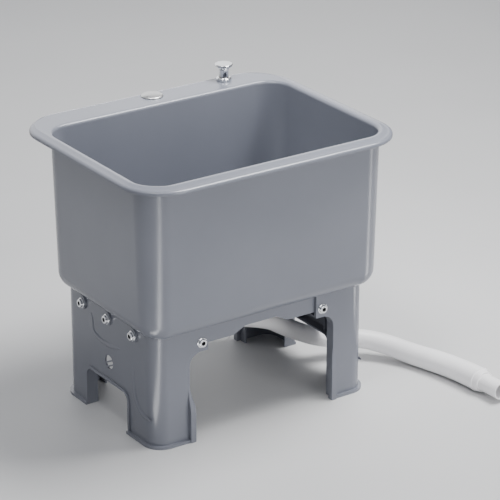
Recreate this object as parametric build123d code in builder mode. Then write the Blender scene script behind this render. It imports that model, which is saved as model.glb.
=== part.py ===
from build123d import *
import math
import os

os.makedirs("parts", exist_ok=True)

# A small plastic utility laundry sink: a deep tub with a rolled rim and a rear deck, on a
# bolted stand of two moulded end frames and two rails, with a pull-knob pop-up waste and a
# white drain hose.  Millimetres, +Z up, origin on the floor under the middle of the rim,
# front towards -Y, rear deck towards +Y.

# ------------------------------------------------------------------ tub and rim sizes
rim_length = 500.0
rim_depth = 408.0
rim_corner = 76.0
rim_top = 460.0
deck_thick = 4.0
lip_drop = 9.0
lip_rise = 6.0
lip_wall = 3.4
lip_round = 2.6
side_slope = 15.0
front_slope = 21.0
rear_slope = 4.0
crown_corner = 58.0
side_rim = 24.0
front_rim = 31.0
rear_deck = 59.0
cavity_corner = 42.0
cavity_round = 3.2
tub_wall = 3.5
wall_draft = 1.3
tub_base = 192.0
floor_thick = 5.5
base_round = 28.0
dish_radius = 130.0
dish_depth = 1.5

# ------------------------------------------------------------------ stand sizes
stand_inset_x = 44.0
stand_inset_y = 65.5
stand_shift_y = 3.0
stand_length = rim_length - 2 * stand_inset_x
stand_depth = rim_depth - 2 * stand_inset_y
stand_mid_y = (front_rim - rear_deck) / 2 + stand_shift_y
stand_corner = 28.0
stand_wall = 3.0
leg_width = 66.0
flange_reach = 35.0
flange_thick = 5.5
flange_height = 39.0
leg_fillet = 22.0
return_depth = 18.5
foot_proud = 5.4
foot_height = 5.0
foot_rib_width = 9.5
foot_rib_proud = 7.5
foot_rib_top = 92.0
foot_rib_full = 52.0
arch_front_leg = 81.0
arch_rear_leg = 70.0
arch_height = 69.0
arch_corner = 14.0
bead_width = 5.0
bead_proud = 2.5
ridge_width = 5.0
ridge_proud = 1.4
upper_ridge = [(16.5, 102.0), (20.0, 78.0), (32.5, 68.5), (72.0, 65.0), (104.0, 71.0)]
lower_ridge = [(65.5, 53.0), (61.5, 19.0), (52.5, -7.0), (31.5, -18.0), (11.5, -20.0)]
vent_radius = 12.0
vent_height = 103.0
vent_offset = 0.2
vent_bar = 2.6
vent_bar_rise = 1.1
vent_bar_drop = 6.1
vent_bar_turn = -28.0
stiffener_depth = 12.0

rail_height = 29.5
rail_thick = 3.0
rail_shelf = 20.0
rail_overlap = 27.0
notch_half_low = 52.0
notch_half_top = 30.0
notch_rise = 11.0

# ------------------------------------------------------------------ screws and nuts
screw_radius = 2.5
screw_clearance = 0.3
head_radius = 7.0
head_height = 5.4
collar_radius = 8.8
collar_height = 1.6
socket_radius = 4.0
socket_depth = 3.2
side_screw_pitch = 78.0
side_screw_drop = 12.0
side_screw_length = 19.0
boss_radius = 10.8
boss_rise = 2.8
boss_proud = 3.0
rail_screw_inset = 12.0
rail_screw_drop = 24.0
nut_radius = 4.9
nut_height = 4.5
nut_tail = 2.5
tongue_length = 210.0
tongue_drop = 26.0
tongue_gap = 0.3
tongue_wall = 3.0
tongue_boss_radius = 7.0
tongue_boss_length = 14.0

# ------------------------------------------------------------------ rear deck fittings
tap_hole_x = 4.0
tap_hole_inset = 20.5
tap_hole_y = rim_depth / 2 - tap_hole_inset
tap_hole_radius = 15.5
cap_radius = 18.6
cap_height = 4.6
cap_leg_wall = 1.8
cap_hook = 1.0
cap_slot = 18.0

knob_inset_x = 102.0
knob_inset_y = 18.5
knob_x = rim_length / 2 - knob_inset_x
knob_y = rim_depth / 2 - knob_inset_y
knob_radius = 15.4
knob_disc = 3.4
knob_top = 29.0
knob_neck_radius = 8.6
knob_skirt = 6.0
knob_stem_radius = 4.5
running_gap = 0.05
base_ring_radius = 13.0
base_ring_height = 5.5
base_ring_seat = 4.0
bush_shoulder = 1.2
bush_ring_gap = 0.1
bush_radius = 7.5
bush_rise = 14.0
bush_drop = 30.0
bush_hole_gap = 0.3
knob_nut_radius = 11.3
knob_nut_height = 6.0
knob_washer_height = 1.5
knob_travel = 10.0

# ------------------------------------------------------------------ pop-up waste
drain_x = 0.0
drain_y = stand_mid_y
drain_pad_radius = 44.0
drain_pad_drop = 5.0
recess_radius = 40.0
recess_depth = 4.0
gasket_thick = 1.5
flange_radius = 38.0
flange_plate = 1.8
throat_radius = 20.0
throat_wall = 2.0
throat_length = 34.0
throat_gap = 0.4
hub_radius = 7.0
hub_height = 9.0
spoke_width = 3.0
stem_radius = 3.6
stopper_radius = 18.5
stopper_height = 5.0
seal_height = 2.4
drain_washer_height = 2.0
drain_nut_radius = 31.0
drain_nut_height = 9.0
body_radius = 27.0
body_wall = 3.0
body_bottom = 96.0
body_collar = 10.0
housing_width = 16.0
housing_wall = 2.8
housing_reach = 50.0
housing_bottom = 112.0
housing_top = 166.0
pivot_reach = 34.0
pivot_height = 126.0
crank_half = 3.0
crank_thick = 6.0
crank_arm = 38.0
crank_rise = 30.0
crank_pin_radius = 2.0
moving_gap = 0.3
nipple_radius = 2.2
wire_radius = 0.8
sheath_radius = 2.5
sheath_bore = 1.1
ferrule_radius = 4.0
ferrule_length = 14.0
wire_tail = 12.0
clip_width = 14.0
clip_height = 9.0
clip_reach = 20.0
clip_shift = 6.5

# ------------------------------------------------------------------ outlet and hose
outlet_slope = 15.06
outlet_height = 131.4
outlet_radius = 13.5
outlet_bore = 11.0
outlet_reach = 46.0
hose_nut_radius = 19.0
hose_nut_length = 12.0
hose_seal_length = 4.0
hose_radius = 16.0
cuff_start_radius = 18.2
cuff_end_radius = 20.6
cuff_length = 120.0
cuff_turn = 16.0
cuff_ring = 2.5
cuff_nose = 11.0
cuff_nose_radius = 18.6
spigot_radius = 15.0
spigot_shoulder = 17.0
spigot_length = 42.0
spigot_wall = 2.2

# ------------------------------------------------------------------ worked-out places
half_length = rim_length / 2
half_depth = rim_depth / 2
deck_under = rim_top - deck_thick
lip_bottom = rim_top - lip_drop
lip_top = lip_bottom + lip_rise
crown_depth = rim_depth - front_slope - rear_slope
crown_mid_y = (front_slope - rear_slope) / 2
tub_floor = tub_base + floor_thick
cavity_front = -half_depth + front_rim
cavity_rear = half_depth - rear_deck
cavity_length = rim_length - 2 * side_rim
cavity_depth = cavity_rear - cavity_front
cavity_mid_y = (cavity_front + cavity_rear) / 2
draft_slope = math.tan(math.radians(wall_draft))

half_stand = stand_length / 2
stand_front = stand_mid_y - stand_depth / 2
stand_rear = stand_mid_y + stand_depth / 2
leg_edge = half_stand - leg_width
flange_tip = leg_edge - flange_reach
flange_bottom = tub_base - flange_height
arch_front = stand_front + arch_front_leg
arch_rear = stand_rear - arch_rear_leg
side_screw_z = tub_base - side_screw_drop
rail_screw_z = tub_base - rail_screw_drop
side_screw_ys = [stand_mid_y - side_screw_pitch, stand_mid_y, stand_mid_y + side_screw_pitch]
rail_reach = flange_tip + rail_overlap
rail_screw_x = flange_tip + rail_screw_inset
drain_rim = tub_floor - dish_depth
recess_floor = drain_rim - recess_depth
pad_under = tub_base - drain_pad_drop
wire_height = pivot_height + crank_rise
clip_heights = (300.0, 250.0)


def rounded_block(length, depth, corner, mid_y, z_low, z_high):
    """An upright block with rounded corners in plan, centred on X = 0."""
    with BuildPart() as block:
        with BuildSketch(Plane.XY.offset(z_low)):
            with Locations((0, mid_y)):
                RectangleRounded(length, depth, corner)
        extrude(amount=z_high - z_low)
    return block.part


def crowned_rim(inset, z_low, z_lip, z_crown):
    """The rim's outer form, or its hollow: an upright lip under a top that slopes gently
    up to a flat crown.  The crown keeps well back at the front and close at the rear."""
    with BuildPart() as rim:
        add(rounded_block(rim_length - 2 * inset, rim_depth - 2 * inset, rim_corner - inset,
                          0, z_low, z_lip))
        with BuildSketch(Plane.XY.offset(z_lip)):
            RectangleRounded(rim_length - 2 * inset, rim_depth - 2 * inset, rim_corner - inset)
        with BuildSketch(Plane.XY.offset(z_crown)):
            with Locations((0, crown_mid_y)):
                RectangleRounded(rim_length - 2 * side_slope, crown_depth, crown_corner)
        loft()
    return rim.part


def drafted_block(length, depth, corner, mid_y, z_low, z_high, base_fillet):
    """A rounded block whose walls lean outwards as they rise, with a rounded bottom edge.
    The length, depth and corner are those at the top."""
    lean = (z_high - z_low) * draft_slope
    with BuildPart() as block:
        with BuildSketch(Plane.XY.offset(z_low)):
            with Locations((0, mid_y)):
                RectangleRounded(length - 2 * lean, depth - 2 * lean, corner - lean)
        extrude(amount=z_high - z_low, taper=-wall_draft)
        fillet(block.faces().sort_by(Axis.Z)[0].edges(), radius=base_fillet)
    return block.part


def finish(builder, name):
    """Label one finished piece and write it."""
    builder.part.label = name
    export_step(builder.part, "parts/" + name + ".step")


# ================================================================== the tub
# One moulding: a drafted basin, a rear deck, a rolled rim with a turned-down lip, and
# under it a seat for the stand, two tongues that take the side screws, and a drain pad.
with BuildPart() as tub:
    add(crowned_rim(0, lip_bottom, lip_top, rim_top))
    soft_line = tub.edges().filter_by_position(Axis.Z, lip_top - 0.1, lip_top + 0.1)
    fillet(soft_line, radius=lip_round)
    add(crowned_rim(lip_wall, lip_bottom, lip_top - deck_thick + 1, deck_under),
        mode=Mode.SUBTRACT)
    outer_length = cavity_length + 2 * tub_wall
    outer_depth = cavity_depth + 2 * tub_wall
    add(drafted_block(outer_length, outer_depth, cavity_corner + tub_wall, cavity_mid_y,
                      tub_base, deck_under + 1, base_round))
    with BuildSketch(Plane.XY.offset(tub_base)):
        with Locations((0, stand_mid_y)):
            RectangleRounded(stand_length - 1, stand_depth - 1, stand_corner - 0.5)
    extrude(amount=floor_thick)
    with BuildSketch(Plane.XY.offset(pad_under)):
        with Locations((drain_x, drain_y)):
            Circle(drain_pad_radius)
    extrude(amount=drain_pad_drop + 1)
    add(drafted_block(cavity_length, cavity_depth, cavity_corner, cavity_mid_y,
                      tub_floor, rim_top, base_round - tub_wall), mode=Mode.SUBTRACT)
    top_face = tub.faces().sort_by(Axis.Z)[-1]
    fillet(top_face.inner_wires()[0].edges(), radius=cavity_round)
    with Locations((drain_x, drain_y, drain_rim)):
        Cone(recess_radius, dish_radius, dish_depth,
             align=(Align.CENTER, Align.CENTER, Align.MIN), mode=Mode.SUBTRACT)
    with BuildSketch(Plane.XY.offset(recess_floor)):
        with Locations((drain_x, drain_y)):
            Circle(recess_radius)
    extrude(amount=recess_depth + 1, mode=Mode.SUBTRACT)
    with BuildSketch(Plane.XY.offset(pad_under)):
        with Locations((drain_x, drain_y)):
            Circle(throat_radius + throat_wall + throat_gap)
    extrude(amount=floor_thick + drain_pad_drop, mode=Mode.SUBTRACT)
    with BuildSketch(Plane.XY.offset(rim_top)):
        with Locations((tap_hole_x, tap_hole_y)):
            Circle(tap_hole_radius)
        with Locations((knob_x, knob_y)):
            Circle(bush_radius + bush_hole_gap)
    extrude(amount=-(deck_thick + 1), mode=Mode.SUBTRACT)
    tongue_x = half_stand - stand_wall - tongue_gap - tongue_wall / 2
    for side in (-1, 1):
        with Locations((side * tongue_x, stand_mid_y, tub_base + 2)):
            Box(tongue_wall, tongue_length, tongue_drop + 2,
                align=(Align.CENTER, Align.CENTER, Align.MAX))
        boss_face = side * (tongue_x + tongue_wall / 2)
        for screw_y in side_screw_ys:
            with BuildSketch(Plane((boss_face, screw_y, side_screw_z), z_dir=(-side, 0, 0))):
                Circle(tongue_boss_radius)
            extrude(amount=tongue_boss_length)
            gusset_x = boss_face - side * tongue_boss_length / 2
            with Locations((gusset_x, screw_y, side_screw_z)):
                Box(tongue_boss_length, tongue_wall, side_screw_drop + 1,
                    align=(Align.CENTER, Align.CENTER, Align.MIN))
            with BuildSketch(Plane((boss_face, screw_y, side_screw_z), z_dir=(-side, 0, 0))):
                Circle(screw_radius)
            extrude(amount=tongue_boss_length + 1, mode=Mode.SUBTRACT)
finish(tub, "tub")


# ================================================================== the stand's end frames
# Each end frame is one moulding that wraps two corners: a side panel with an arch, two legs
# with returned edges, and a flange at the top of each leg that takes a rail.
window_corner = (-leg_edge, flange_bottom)


def window_outline(grow, low):
    """The opening between the legs, seen from the front, for the left frame: everything
    inside the leg's edge and under the flange, grown into the leg by an amount."""
    with BuildSketch(Plane.XZ, mode=Mode.PRIVATE) as window:
        with BuildLine():
            FilletPolyline((-leg_edge - grow, low), (-leg_edge - grow, flange_bottom + grow),
                           (1, flange_bottom + grow), radius=leg_fillet + grow)
            Polyline((1, flange_bottom + grow), (1, low), (-leg_edge - grow, low))
        make_face()
    return window.sketch


def arch_outline(grow, low):
    """The arch of the side panel, seen from the side, grown into the panel by an amount."""
    with BuildSketch(Plane.YZ, mode=Mode.PRIVATE) as arch:
        with BuildLine():
            FilletPolyline((arch_front - grow, low), (arch_front - grow, arch_height + grow),
                           (arch_rear + grow, arch_height + grow), (arch_rear + grow, low),
                           radius=arch_corner + grow)
            Line((arch_rear + grow, low), (arch_front - grow, low))
        make_face()
    return arch.sketch


def slab(face, direction, start, amount):
    """A flat outline carried along a direction, from a start distance, by an amount."""
    moved = face.moved(Location(Vector(*direction) * start))
    return extrude(moved, amount=amount, dir=direction, mode=Mode.PRIVATE)


with BuildPart() as left_end_frame:
    with BuildSketch():
        with Locations((0, stand_mid_y)):
            RectangleRounded(stand_length, stand_depth, stand_corner)
            RectangleRounded(stand_length - 2 * stand_wall, stand_depth - 2 * stand_wall,
                             stand_corner - stand_wall, mode=Mode.SUBTRACT)
    extrude(amount=tub_base)
    for face_y, inwards in ((stand_front, 1), (stand_rear, -1)):
        with Locations((-leg_edge - stand_wall, face_y + inwards * flange_thick / 2, tub_base)):
            Box(leg_edge, flange_thick, flange_height + leg_fillet,
                align=(Align.MIN, Align.CENTER, Align.MAX))
    window = window_outline(0, -1)
    add(slab(window, (0, 1, 0), stand_front - 1, stand_depth + 2), mode=Mode.SUBTRACT)
    window_edge = window_outline(stand_wall, 0) - window
    add(slab(window_edge, (0, 1, 0), stand_front, return_depth))
    add(slab(window_edge, (0, 1, 0), stand_rear - return_depth, return_depth))
    with Locations((-flange_tip, stand_mid_y, 0)):
        Box(stand_length, stand_depth + 2, 2 * tub_base,
            align=(Align.MIN, Align.CENTER, Align.CENTER), mode=Mode.SUBTRACT)
    arch = arch_outline(0, -1)
    add(slab(arch, (1, 0, 0), -half_stand - 1, stand_corner), mode=Mode.SUBTRACT)
    add(slab(arch_outline(stand_wall, 0) - arch, (1, 0, 0), -half_stand, return_depth))
    add(slab(arch_outline(bead_width, 0) - arch, (1, 0, 0), -half_stand - bead_proud,
             bead_proud))
    # foot lip round each leg
    for leg_low, leg_high in ((stand_front - foot_proud, arch_front),
                              (arch_rear, stand_rear + foot_proud)):
        with BuildSketch() as foot:
            with Locations((0, stand_mid_y)):
                RectangleRounded(stand_length + 2 * foot_proud, stand_depth + 2 * foot_proud,
                                 stand_corner + foot_proud)
                RectangleRounded(stand_length - 2 * stand_wall, stand_depth - 2 * stand_wall,
                                 stand_corner - stand_wall, mode=Mode.SUBTRACT)
            with Locations((-leg_edge, (leg_low + leg_high) / 2)):
                Rectangle(leg_width + foot_proud, leg_high - leg_low,
                          align=(Align.MAX, Align.CENTER), mode=Mode.INTERSECT)
        extrude(amount=foot_height)
    # the swept rib on each leg's inner edge, fading out towards the top
    for face_y, outwards in ((stand_front, -1), (stand_rear, 1)):
        proud_y = face_y + outwards * foot_rib_proud
        back_y = face_y - outwards * stand_wall
        with BuildSketch(Plane.YZ.offset(-leg_edge - stand_wall)):
            with BuildLine():
                Polyline((proud_y, foot_rib_full), (proud_y, 0), (back_y, 0),
                         (back_y, foot_rib_top), (face_y, foot_rib_top))
                Spline((face_y, foot_rib_top), (proud_y, foot_rib_full),
                       tangents=((outwards * 0.25, -1), (0, -1)))
            make_face()
        extrude(amount=foot_rib_width)
    with BuildSketch(Plane.XZ.offset(-stand_mid_y)):
        with BuildLine():
            Polyline((-leg_edge, foot_rib_top + 1), (-leg_edge, foot_rib_top),
                     (-leg_edge + foot_rib_width - stand_wall, foot_rib_full + 8),
                     (0, foot_rib_full + 8), (0, foot_rib_top + 1), close=True)
        make_face()
    extrude(amount=stand_depth, both=True, mode=Mode.SUBTRACT)
    # screw bosses: three on the side panel, one small tab on each flange
    for screw_y in side_screw_ys:
        with BuildSketch(Plane((-half_stand, screw_y, side_screw_z + boss_rise / 2),
                               x_dir=(0, 0, 1), z_dir=(-1, 0, 0))):
            SlotCenterToCenter(boss_rise, 2 * boss_radius)
        extrude(amount=boss_proud)
        with BuildSketch(Plane((-half_stand, screw_y, side_screw_z), z_dir=(-1, 0, 0))):
            Circle(screw_radius + screw_clearance)
        extrude(amount=stand_wall + boss_proud, both=True, mode=Mode.SUBTRACT)
    with BuildSketch(Plane.XZ.offset(-stand_mid_y)):
        with Locations((-rail_screw_x, rail_screw_z)):
            Circle(screw_radius + screw_clearance)
    extrude(amount=stand_depth, both=True, mode=Mode.SUBTRACT)
    # two embossed ridges on the side panel
    with BuildSketch(Plane.YZ.offset(-half_stand - ridge_proud)):
        with BuildLine() as ridges:
            Spline(*[(arch_rear - back, arch_height + rise) for back, rise in upper_ridge])
            Spline(*[(stand_front + ahead, arch_height + rise) for ahead, rise in lower_ridge])
        trace(ridges.line, line_width=ridge_width)
    extrude(amount=ridge_proud + 1)
    # upright stiffeners inside the side panel
    for stiffener_y in (side_screw_ys[0] + side_screw_pitch / 2,
                        side_screw_ys[1] + side_screw_pitch / 2):
        with Locations((-half_stand + 1, stiffener_y, arch_height + 1)):
            Box(stiffener_depth, stand_wall, tub_base - tongue_drop - arch_height - 8,
                align=(Align.MIN, Align.CENTER, Align.MIN))
    # round vent with two bars
    with BuildSketch(Plane.YZ.offset(-half_stand - 1)):
        with Locations((stand_mid_y + vent_offset, vent_height)):
            Circle(vent_radius)
            with Locations(Location((0, 0), vent_bar_turn)):
                with Locations((0, vent_bar_rise), (0, -vent_bar_drop)):
                    Rectangle(3 * vent_radius, vent_bar, mode=Mode.SUBTRACT)
    extrude(amount=stand_wall + 2, mode=Mode.SUBTRACT)
finish(left_end_frame, "left_end_frame")

with BuildPart() as right_end_frame:
    add(left_end_frame.part.mirror(Plane.YZ))
finish(right_end_frame, "right_end_frame")


# ================================================================== rails
# Moulded cross rails behind the flanges: an upright face with a shallow notch in its lower
# edge, and a shelf along the top that carries the tub.
def make_rail(face_y, inwards):
    back_y = face_y + inwards * rail_thick
    with BuildPart() as rail:
        with BuildSketch(Plane.XZ.offset(-face_y)):
            with BuildLine():
                low = tub_base - rail_height
                Polyline((-rail_reach, low), (-notch_half_low, low),
                         (-notch_half_top, low + notch_rise),
                         (notch_half_top, low + notch_rise), (notch_half_low, low),
                         (rail_reach, low), (rail_reach, tub_base), (-rail_reach, tub_base),
                         close=True)
            make_face()
            with Locations((-rail_screw_x, rail_screw_z), (rail_screw_x, rail_screw_z)):
                Circle(screw_radius + screw_clearance, mode=Mode.SUBTRACT)
        extrude(amount=-inwards * rail_thick)
        with Locations((0, (face_y + back_y) / 2 + inwards * rail_shelf / 2, tub_base)):
            Box(2 * rail_reach, rail_shelf, rail_thick,
                align=(Align.CENTER, Align.CENTER, Align.MAX))
        for gusset_x in (-notch_half_low - rail_shelf, 0, notch_half_low + rail_shelf):
            with Locations((gusset_x, back_y + inwards * (rail_shelf - rail_thick) / 2,
                            tub_base - rail_thick)):
                Box(rail_thick, rail_shelf - rail_thick, rail_height / 3,
                    align=(Align.CENTER, Align.CENTER, Align.MAX))
    return rail


front_rail_y = stand_front + flange_thick
rear_rail_y = stand_rear - flange_thick
front_rail = make_rail(front_rail_y, 1)
finish(front_rail, "front_rail")
rear_rail = make_rail(rear_rail_y, -1)
finish(rear_rail, "rear_rail")


# ================================================================== screws and nuts
def screw_at(seat, outwards, shank_length):
    """A socket-head screw with a round collar, its collar seated on a face."""
    seat_plane = Plane(seat, z_dir=outwards)
    with BuildPart() as screw:
        with BuildSketch(seat_plane):
            Circle(collar_radius)
        extrude(amount=collar_height)
        fillet(screw.faces().sort_by(Axis(seat, outwards))[-1].edges(), radius=0.6)
        with BuildSketch(seat_plane):
            Circle(head_radius)
        extrude(amount=head_height)
        fillet(screw.faces().sort_by(Axis(seat, outwards))[-1].edges(), radius=1.0)
        with BuildSketch(seat_plane.offset(head_height)):
            RegularPolygon(socket_radius, 6)
        extrude(amount=-socket_depth, mode=Mode.SUBTRACT)
        with BuildSketch(seat_plane):
            Circle(screw_radius)
        extrude(amount=-shank_length)
    return screw.part


def nut_at(seat, outwards):
    """A plain hexagon nut with its face seated on a face, bored for its screw."""
    with BuildPart() as nut:
        with BuildSketch(Plane(seat, z_dir=outwards)):
            RegularPolygon(nut_radius, 6)
            Circle(screw_radius, mode=Mode.SUBTRACT)
        extrude(amount=nut_height)
    return nut.part


side_seat = half_stand + boss_proud
for side, name in ((-1, "left_side_screws"), (1, "right_side_screws")):
    with BuildPart() as side_screws:
        for screw_y in side_screw_ys:
            add(screw_at((side * side_seat, screw_y, side_screw_z), (side, 0, 0),
                         side_screw_length))
    finish(side_screws, name)

rail_shank = flange_thick + rail_thick + nut_height + nut_tail
for seat_y, outwards, name in ((stand_front, -1, "front_rail_screws"),
                               (stand_rear, 1, "rear_rail_screws")):
    with BuildPart() as rail_screws:
        for screw_x in (-rail_screw_x, rail_screw_x):
            add(screw_at((screw_x, seat_y, rail_screw_z), (0, outwards, 0), rail_shank))
    finish(rail_screws, name)

with BuildPart() as rail_nuts:
    for nut_y, outwards in ((front_rail_y + rail_thick, 1), (rear_rail_y - rail_thick, -1)):
        for nut_x in (-rail_screw_x, rail_screw_x):
            add(nut_at((nut_x, nut_y, rail_screw_z), (0, outwards, 0)))
finish(rail_nuts, "rail_nuts")


# ================================================================== rear deck fittings
def turned(axis_x, axis_y, points):
    """A turned piece: a closed outline of (radius, height) points spun about an upright."""
    with BuildPart() as piece:
        with BuildSketch(Plane((axis_x, axis_y, 0), x_dir=(1, 0, 0), z_dir=(0, -1, 0))):
            with BuildLine():
                Polyline(*points, close=True)
            make_face()
        revolve(axis=Axis((axis_x, axis_y, 0), (0, 0, 1)))
    return piece.part


# The cover of the unused tap hole: a domed cap on a split collar that snaps under the deck.
with BuildPart() as tap_hole_cap:
    with BuildSketch(Plane((tap_hole_x, tap_hole_y, rim_top), x_dir=(1, 0, 0),
                           z_dir=(0, -1, 0))):
        with BuildLine():
            Line((0, cap_height - 1.6), (0, cap_height))
            ThreePointArc((0, cap_height), (cap_radius * 0.62, cap_height - 1.3),
                          (cap_radius, 0.8))
            Polyline((cap_radius, 0.8), (cap_radius, 0), (tap_hole_radius - 0.4, 0),
                     (tap_hole_radius - 0.4, -deck_thick - 0.3),
                     (tap_hole_radius + cap_hook, -deck_thick - 0.3),
                     (tap_hole_radius - 0.4, -deck_thick - 4.5),
                     (tap_hole_radius - 0.4 - cap_leg_wall, -deck_thick - 4.5),
                     (tap_hole_radius - 0.4 - cap_leg_wall, cap_height - 2.6),
                     (0, cap_height - 1.6))
        make_face()
    revolve(axis=Axis((tap_hole_x, tap_hole_y, 0), (0, 0, 1)))
    with Locations((tap_hole_x, tap_hole_y, rim_top)):
        for turn in (0, 90):
            with Locations(Location((0, 0, 0), (0, 0, turn))):
                Box(3 * cap_radius, cap_slot, deck_thick + 6,
                    align=(Align.CENTER, Align.CENTER, Align.MAX), mode=Mode.SUBTRACT)
finish(tap_hole_cap, "tap_hole_cap")

bush_top = rim_top + bush_rise
bush_bottom = rim_top - bush_drop
stem_bore = knob_stem_radius + running_gap
with BuildPart() as knob_base_ring:
    seat_radius = bush_radius + bush_shoulder + bush_ring_gap
    add(turned(knob_x, knob_y,
               [(bush_radius + bush_ring_gap, rim_top), (base_ring_radius, rim_top),
                (base_ring_radius, rim_top + base_ring_height * 0.6),
                (base_ring_radius - 1, rim_top + base_ring_height * 0.8),
                (seat_radius + 0.8, rim_top + base_ring_height),
                (seat_radius, rim_top + base_ring_height),
                (seat_radius, rim_top + base_ring_seat),
                (bush_radius + bush_ring_gap, rim_top + base_ring_seat)]))
finish(knob_base_ring, "knob_base_ring")

with BuildPart() as knob_guide_bush:
    shoulder = rim_top + base_ring_seat
    add(turned(knob_x, knob_y,
               [(stem_bore, bush_bottom), (bush_radius, bush_bottom), (bush_radius, shoulder),
                (bush_radius + bush_shoulder, shoulder),
                (bush_radius + bush_shoulder, shoulder + 1),
                (bush_radius, shoulder + 1.6), (bush_radius, bush_top - 1),
                (bush_radius - 1, bush_top), (stem_bore, bush_top)]))
finish(knob_guide_bush, "knob_guide_bush")

with BuildPart() as knob_washer:
    add(turned(knob_x, knob_y,
               [(bush_radius + 0.1, deck_under), (knob_nut_radius, deck_under),
                (knob_nut_radius, deck_under - knob_washer_height),
                (bush_radius + 0.1, deck_under - knob_washer_height)]))
finish(knob_washer, "knob_washer")

with BuildPart() as knob_lock_nut:
    with BuildSketch(Plane.XY.offset(deck_under - knob_washer_height)):
        with Locations((knob_x, knob_y)):
            RegularPolygon(knob_nut_radius, 6)
            Circle(bush_radius, mode=Mode.SUBTRACT)
    extrude(amount=-knob_nut_height)
finish(knob_lock_nut, "knob_lock_nut")

# The pull knob and its stem, which slides in the bush.
stem_bottom = bush_bottom + 7
with BuildPart() as lift_knob:
    knob_high = rim_top + knob_top
    disc_low = knob_high - knob_disc
    rest = bush_top + moving_gap
    sleeve = bush_radius + moving_gap
    add(turned(knob_x, knob_y,
               [(0, stem_bottom), (knob_stem_radius, stem_bottom), (knob_stem_radius, rest),
                (sleeve, rest), (sleeve, rim_top + knob_skirt),
                (knob_neck_radius, rim_top + knob_skirt), (knob_neck_radius, disc_low - 7),
                (knob_neck_radius + 1, disc_low - 4), (knob_radius - 2.5, disc_low - 1.2),
                (knob_radius, disc_low + 0.6), (knob_radius, knob_high - 1.4),
                (knob_radius - 1.4, knob_high), (0, knob_high)]))
finish(lift_knob, "lift_knob")


# ================================================================== pop-up waste
drain = (drain_x, drain_y)

with BuildPart() as drain_gasket:
    add(turned(*drain, [(throat_radius + throat_wall + 0.2, recess_floor),
                        (recess_radius - 1, recess_floor),
                        (recess_radius - 1, recess_floor + gasket_thick),
                        (throat_radius + throat_wall + 0.2, recess_floor + gasket_thick)]))
finish(drain_gasket, "drain_gasket")

# The waste flange: a dished plate on a threaded throat, with a spoked guide for the stem.
flange_base = recess_floor + gasket_thick
throat_bottom = flange_base - throat_length
throat_outer = throat_radius + throat_wall
hub_top = flange_base - 12
with BuildPart() as drain_flange:
    add(turned(*drain, [(throat_radius, throat_bottom), (throat_outer, throat_bottom),
                        (throat_outer, flange_base), (flange_radius, flange_base),
                        (flange_radius, flange_base + flange_plate * 0.6),
                        (flange_radius - 1.2, flange_base + flange_plate),
                        (throat_radius + 1.5, flange_base + flange_plate * 0.8),
                        (throat_radius, flange_base - 1)]))
    with BuildSketch(Plane.XY.offset(hub_top)):
        with Locations(drain):
            Circle(hub_radius)
            for turn in (30, 90, 150):
                with Locations(Location((0, 0), turn)):
                    Rectangle(2 * throat_radius + throat_wall, spoke_width)
            Circle(stem_radius + running_gap, mode=Mode.SUBTRACT)
    extrude(amount=-hub_height)
finish(drain_flange, "drain_flange")

# The stopper: a domed plug on a stem, with a rubber ring round it.
stopper_base = flange_base - 2.5 + moving_gap
stem_low = pivot_height + crank_half + moving_gap
with BuildPart() as drain_stopper:
    add(turned(*drain, [(0, stem_low), (1.6, stem_low), (stem_radius, stem_low + 2),
                        (stem_radius, hub_top + 1),
                        (stem_radius + 2, hub_top + 1), (stem_radius + 2, stopper_base),
                        (stopper_radius - 1.5, stopper_base),
                        (stopper_radius - 1.5, stopper_base + seal_height),
                        (stopper_radius, stopper_base + seal_height),
                        (stopper_radius, stopper_base + seal_height + 1),
                        (stopper_radius - 8, stopper_base + seal_height + stopper_height - 1),
                        (0, stopper_base + seal_height + stopper_height)]))
finish(drain_stopper, "drain_stopper")

with BuildPart() as stopper_seal:
    add(turned(*drain, [(stopper_radius - 1.5, stopper_base),
                        (throat_radius - 1, stopper_base),
                        (throat_radius - moving_gap, stopper_base + seal_height / 2),
                        (throat_radius - 1, stopper_base + seal_height),
                        (stopper_radius - 1.5, stopper_base + seal_height)]))
finish(stopper_seal, "stopper_seal")

washer_low = pad_under - drain_washer_height
with BuildPart() as drain_washer:
    add(turned(*drain, [(throat_outer + 0.2, washer_low), (drain_nut_radius, washer_low),
                        (drain_nut_radius, pad_under), (throat_outer + 0.2, pad_under)]))
finish(drain_washer, "drain_washer")

nut_low = washer_low - drain_nut_height
with BuildPart() as drain_lock_nut:
    with BuildSketch(Plane.XY.offset(nut_low)):
        with Locations(drain):
            Circle(drain_nut_radius - 3)
            with PolarLocations(drain_nut_radius - 3, 8):
                Circle(3)
            Circle(throat_outer, mode=Mode.SUBTRACT)
    extrude(amount=drain_nut_height)
finish(drain_lock_nut, "drain_lock_nut")

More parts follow.
